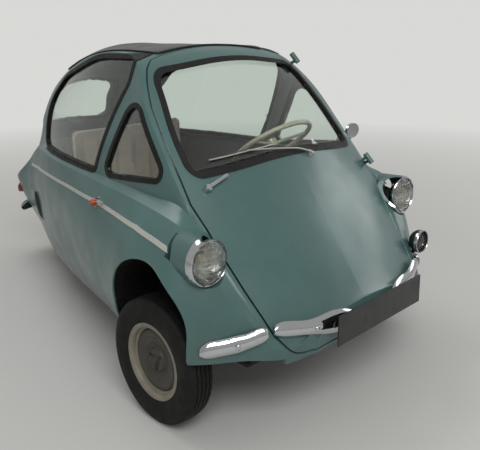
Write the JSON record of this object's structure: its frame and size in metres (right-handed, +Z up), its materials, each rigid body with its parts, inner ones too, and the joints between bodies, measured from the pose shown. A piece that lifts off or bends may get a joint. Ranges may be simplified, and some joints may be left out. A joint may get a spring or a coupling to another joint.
{
  "type": "bubble car",
  "caption": "Small rounded cabin car whose whole front opens as one side-hinged door, with steered front wheels, a single rear wheel, bench seat, folding cloth roof and rear engine lid.",
  "frame": {"origin": "on the ground, under the middle of the car's overall length and width", "axes": "+Z up; the car faces -Y; +X is the car's own left side"},
  "size_m": [1.388, 2.55, 1.3226],
  "materials": {
    "paint": "satin",
    "dark_paint": "satin",
    "black_steel": "satin",
    "plate_black": "semi gloss",
    "wheel_paint": "satin",
    "chrome": "polished",
    "bright_strip": "brushed",
    "glass": "clear",
    "lamp_glass": "clear",
    "amber": "gloss",
    "red_lens": "gloss",
    "mirror": "polished",
    "reflector": "polished",
    "seal_rubber": "matte",
    "tyre": "matte",
    "roof_fabric": "matte",
    "seat_cover": "satin",
    "floor_cover": "matte",
    "cream_plastic": "gloss",
    "pod_plastic": "satin",
    "engine_alloy": "cast"
  },
  "bodies": {
    "body": {"cabin_frame": "paint", "body_tub": "paint", "window_seals": "seal_rubber", "window_glass": "glass", "roof_cloth": "roof_fabric", "floor_pan": "floor_cover", "rear_bulkhead": "floor_cover", "front_axle_beam": "black_steel", "front_spring_units": "black_steel", "chassis_rails": "black_steel", "rear_arm": "black_steel", "rear_axle": "black_steel", "engine_block": "engine_alloy", "corner_bumpers": "chrome", "headlamp_rims": "chrome", "headlamp_bowls": "reflector", "lamp_lenses": "lamp_glass", "fog_lamp": "black_steel", "indicator_bases": "chrome", "indicator_lenses": "amber", "side_trim": "bright_strip", "tail_lamps": "red_lens", "mirror": "chrome", "mirror_glass": "mirror", "hinge_brackets": "paint", "seat_cushion": "seat_cover", "seat_back": "seat_cover", "seat_base": "dark_paint", "steering_column": "dark_paint", "dash_pod": "pod_plastic"},
    "door": {"door_panel": "paint", "windscreen_seal": "seal_rubber", "windscreen_glass": "glass", "door_bumper": "chrome", "number_plate": "plate_black", "door_handle": "chrome", "wiper": "black_steel", "door_hinge_leaves": "paint"},
    "lid": {"engine_lid": "paint"},
    "left_knuckle": {"knuckle_left": "black_steel"},
    "right_knuckle": {"knuckle_right": "black_steel"},
    "left_wheel": {"front_left_tyre": "tyre", "front_left_rim": "wheel_paint"},
    "right_wheel": {"front_right_tyre": "tyre", "front_right_rim": "wheel_paint"},
    "back_wheel": {"rear_tyre": "tyre", "rear_rim": "wheel_paint"},
    "hand_wheel": {"steering_wheel": "cream_plastic"}
  },
  "joints": [
    {"name": "door_hinge", "type": "hinge", "parent": "body", "child": "door", "pos_m": [0.5, -0.852, 0.813], "axis": [-0.1284, 0.6507, 0.7484], "range_deg": [0, 75]},
    {"name": "engine_lid_hinge", "type": "hinge", "parent": "body", "child": "lid", "pos_m": [0, 0.969, 0.83], "axis": [1, 0, 0], "range_deg": [0, 60]},
    {"name": "steer_left", "type": "hinge", "parent": "body", "child": "left_knuckle", "pos_m": [0.6, -0.755, 0.233], "axis": [0, 0, 1], "range_deg": [-30, 30]},
    {"name": "steer_right", "type": "hinge", "parent": "body", "child": "right_knuckle", "pos_m": [-0.6, -0.755, 0.233], "axis": [0, 0, 1], "range_deg": [-30, 30]},
    {"name": "roll_left", "type": "hinge", "parent": "left_knuckle", "child": "left_wheel", "pos_m": [0.617, -0.755, 0.233], "axis": [1, 0, 0], "continuous": true},
    {"name": "roll_right", "type": "hinge", "parent": "right_knuckle", "child": "right_wheel", "pos_m": [-0.617, -0.755, 0.233], "axis": [1, 0, 0], "continuous": true},
    {"name": "roll_back", "type": "hinge", "parent": "body", "child": "back_wheel", "pos_m": [0, 1.005, 0.233], "axis": [1, 0, 0], "continuous": true},
    {"name": "steering_wheel_turn", "type": "hinge", "parent": "body", "child": "hand_wheel", "pos_m": [0.235, -0.505, 0.868], "axis": [0, 0.6018, 0.7986], "range_deg": [-360, 360]}
  ],
  "couplings": [
    {"joint": "steer_right", "follows": "steer_left", "ratio": 1},
    {"joint": "steering_wheel_turn", "follows": "steer_left", "ratio": 12}
  ]
}
